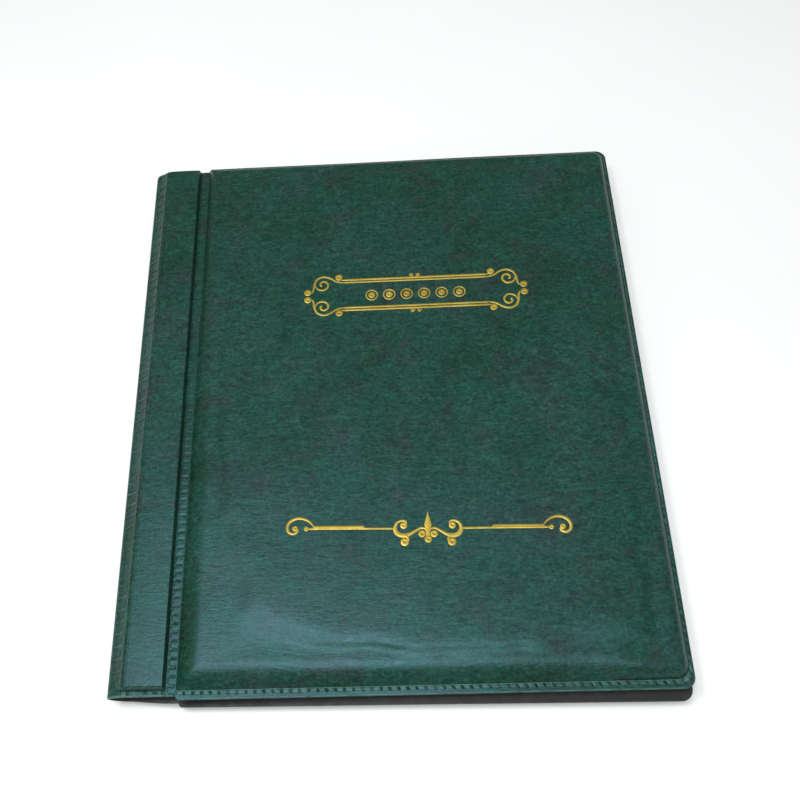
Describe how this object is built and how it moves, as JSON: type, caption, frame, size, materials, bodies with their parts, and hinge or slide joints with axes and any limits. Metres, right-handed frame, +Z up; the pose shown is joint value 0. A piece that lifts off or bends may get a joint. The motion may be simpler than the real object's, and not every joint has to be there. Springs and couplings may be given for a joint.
{
  "type": "coin album",
  "caption": "Padded coin album with a stitched cover, hinge strips, ribbed spine fold and clear pocket leaves that turn with the cover.",
  "frame": {"origin": "on the table under the middle of the closed album", "axes": "+X from the spine to the fore edge, +Y to the head of the album, +Z up out of the front cover"},
  "size_m": [0.197, 0.228, 0.016],
  "materials": {
    "cover_leatherette": "satin grained PVC leatherette",
    "black_lining": "matt black PVC lining",
    "board": "grey bookbinding board",
    "foam": "soft open foam",
    "black_bar": "matt black plastic",
    "brass_post": "polished brass",
    "clear_leaf": "clear soft PVC",
    "gold_foil": "hot-stamped gold foil"
  },
  "bodies": {
    "back_cover": {"back_cover_skin": "cover_leatherette", "back_cover_foam": "foam", "back_cover_board": "board", "back_cover_lining": "black_lining"},
    "back_strip": {"back_strip_skin": "cover_leatherette", "back_strip_board": "board", "back_strip_lining": "black_lining"},
    "binding": {"spine_skin": "cover_leatherette", "spine_lining": "black_lining", "spine_web": "black_lining", "binding_bar_front": "black_bar", "binding_bar_back": "black_bar", "post_barrels": "brass_post", "post_screws": "brass_post", "leaf_margins": "clear_leaf"},
    "front_strip": {"front_strip_skin": "cover_leatherette", "front_strip_board": "board", "front_strip_lining": "black_lining"},
    "front_cover": {"front_cover_skin": "cover_leatherette", "front_cover_foam": "foam", "front_cover_board": "board", "front_cover_lining": "black_lining", "title_frame_foil": "gold_foil", "title_discs_foil": "gold_foil", "flourish_foil": "gold_foil"},
    "leaf_01": {"leaf_01_sheet": "clear_leaf", "leaf_01_pockets": "clear_leaf"},
    "leaf_02": {"leaf_02_sheet": "clear_leaf", "leaf_02_pockets": "clear_leaf"},
    "leaf_03": {"leaf_03_sheet": "clear_leaf", "leaf_03_pockets": "clear_leaf"},
    "leaf_04": {"leaf_04_sheet": "clear_leaf", "leaf_04_pockets": "clear_leaf"},
    "leaf_05": {"leaf_05_sheet": "clear_leaf", "leaf_05_pockets": "clear_leaf"},
    "leaf_06": {"leaf_06_sheet": "clear_leaf", "leaf_06_pockets": "clear_leaf"},
    "leaf_07": {"leaf_07_sheet": "clear_leaf", "leaf_07_pockets": "clear_leaf"},
    "leaf_08": {"leaf_08_sheet": "clear_leaf", "leaf_08_pockets": "clear_leaf"},
    "leaf_09": {"leaf_09_sheet": "clear_leaf", "leaf_09_pockets": "clear_leaf"},
    "leaf_10": {"leaf_10_sheet": "clear_leaf", "leaf_10_pockets": "clear_leaf"}
  },
  "joints": [
    {"name": "back_cover_open", "type": "hinge", "parent": "back_strip", "child": "binding", "pos_m": [-0.0982, 0, 0.00673], "axis": [0, 1, 0], "range_deg": [-115, 0]},
    {"name": "back_groove_flex", "type": "hinge", "parent": "back_cover", "child": "back_strip", "pos_m": [-0.07625, 0, 0.0047], "axis": [0, 1, 0], "range_deg": [-5.5, 0]},
    {"name": "front_cover_open", "type": "hinge", "parent": "binding", "child": "front_strip", "pos_m": [-0.0982, 0, 0.00927], "axis": [0, -1, 0], "range_deg": [0, 175]},
    {"name": "front_groove_flex", "type": "hinge", "parent": "front_strip", "child": "front_cover", "pos_m": [-0.07625, 0, 0.0113], "axis": [0, -1, 0], "range_deg": [0, 6.6]},
    {"name": "leaf_01_turn", "type": "hinge", "parent": "binding", "child": "leaf_01", "pos_m": [-0.0795, 0, 0.0103], "axis": [0, -1, 0], "range_deg": [0, 178.5]},
    {"name": "leaf_02_turn", "type": "hinge", "parent": "binding", "child": "leaf_02", "pos_m": [-0.0795, 0, 0.0103], "axis": [0, -1, 0], "range_deg": [0, 178]},
    {"name": "leaf_03_turn", "type": "hinge", "parent": "binding", "child": "leaf_03", "pos_m": [-0.0795, 0, 0.0103], "axis": [0, -1, 0], "range_deg": [0, 177.5]},
    {"name": "leaf_04_turn", "type": "hinge", "parent": "binding", "child": "leaf_04", "pos_m": [-0.0795, 0, 0.0103], "axis": [0, -1, 0], "range_deg": [0, 177]},
    {"name": "leaf_05_turn", "type": "hinge", "parent": "binding", "child": "leaf_05", "pos_m": [-0.0795, 0, 0.0103], "axis": [0, -1, 0], "range_deg": [0, 176.5]},
    {"name": "leaf_06_turn", "type": "hinge", "parent": "binding", "child": "leaf_06", "pos_m": [-0.0795, 0, 0.0103], "axis": [0, -1, 0], "range_deg": [0, 2.4]},
    {"name": "leaf_07_turn", "type": "hinge", "parent": "binding", "child": "leaf_07", "pos_m": [-0.0795, 0, 0.0103], "axis": [0, -1, 0], "range_deg": [0, 1.9]},
    {"name": "leaf_08_turn", "type": "hinge", "parent": "binding", "child": "leaf_08", "pos_m": [-0.0795, 0, 0.0103], "axis": [0, -1, 0], "range_deg": [0, 1.4]},
    {"name": "leaf_09_turn", "type": "hinge", "parent": "binding", "child": "leaf_09", "pos_m": [-0.0795, 0, 0.0103], "axis": [0, -1, 0], "range_deg": [0, 0.9]},
    {"name": "leaf_10_turn", "type": "hinge", "parent": "binding", "child": "leaf_10", "pos_m": [-0.0795, 0, 0.0103], "axis": [0, -1, 0], "range_deg": [0, 0.4]}
  ],
  "couplings": [
    {"joint": "back_groove_flex", "follows": "back_cover_open", "ratio": 0.04},
    {"joint": "front_groove_flex", "follows": "front_cover_open", "ratio": 0.03766},
    {"joint": "leaf_01_turn", "follows": "front_cover_open", "ratio": 1.02},
    {"joint": "leaf_02_turn", "follows": "front_cover_open", "ratio": 1.0171},
    {"joint": "leaf_03_turn", "follows": "front_cover_open", "ratio": 1.0143},
    {"joint": "leaf_04_turn", "follows": "front_cover_open", "ratio": 1.0114},
    {"joint": "leaf_05_turn", "follows": "front_cover_open", "ratio": 1.0086},
    {"joint": "leaf_06_turn", "follows": "front_cover_open", "ratio": 0.0137},
    {"joint": "leaf_07_turn", "follows": "front_cover_open", "ratio": 0.01084},
    {"joint": "leaf_08_turn", "follows": "front_cover_open", "ratio": 0.00799},
    {"joint": "leaf_09_turn", "follows": "front_cover_open", "ratio": 0.00513},
    {"joint": "leaf_10_turn", "follows": "front_cover_open", "ratio": 0.00227}
  ]
}
